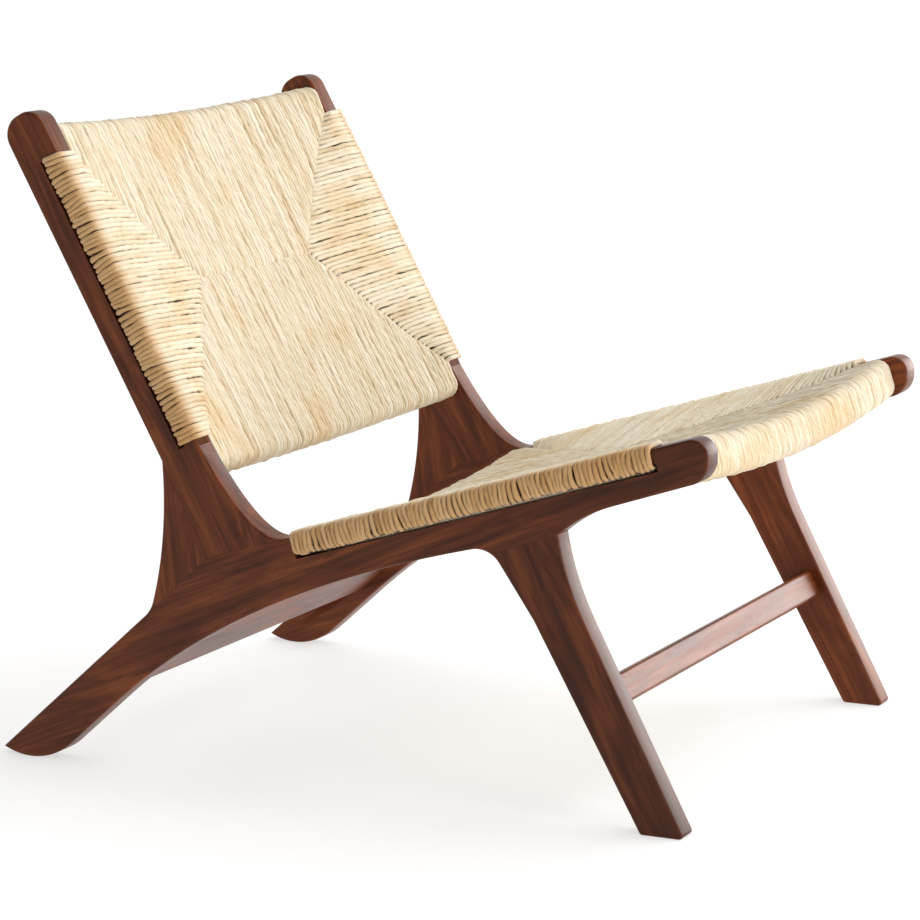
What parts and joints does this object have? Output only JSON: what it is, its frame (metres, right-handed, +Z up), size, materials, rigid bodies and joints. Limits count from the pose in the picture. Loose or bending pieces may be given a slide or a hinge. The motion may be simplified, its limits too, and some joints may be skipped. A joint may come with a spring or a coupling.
{
  "type": "armless woven lounge chair",
  "caption": "low lounge chair without arms: flat hardwood side frames joined by bowed crossbars and stretchers, with a woven cord seat and back",
  "frame": {"origin": "on the floor, under the middle of the chair's overall box", "axes": "+Z up; the chair faces -Y; +X is the sitter's left"},
  "size_m": [0.6466, 0.8162, 0.698],
  "materials": {
    "hardwood": "satin lacquer over a red-brown stain",
    "dowel_wood": "bare",
    "cord": "undyed twisted plant fibre"
  },
  "bodies": {
    "root": {"seat_rail_left": "hardwood", "seat_rail_right": "hardwood", "front_leg_left": "hardwood", "front_leg_right": "hardwood", "back_post_left": "hardwood", "back_post_right": "hardwood", "post_fillet_left": "hardwood", "post_fillet_right": "hardwood", "rear_gusset_left": "hardwood", "rear_gusset_right": "hardwood", "leg_dowels_left": "dowel_wood", "leg_dowels_right": "dowel_wood", "post_dowels_left": "dowel_wood", "post_dowels_right": "dowel_wood", "gusset_dowels_left": "dowel_wood", "gusset_dowels_right": "dowel_wood", "back_top_crossbar": "hardwood", "back_bottom_crossbar": "hardwood", "seat_front_crossbar": "hardwood", "seat_rear_crossbar": "hardwood", "front_stretcher": "hardwood", "rear_stretcher": "hardwood", "back_weave": "cord", "seat_weave": "cord"}
  },
  "joints": []
}
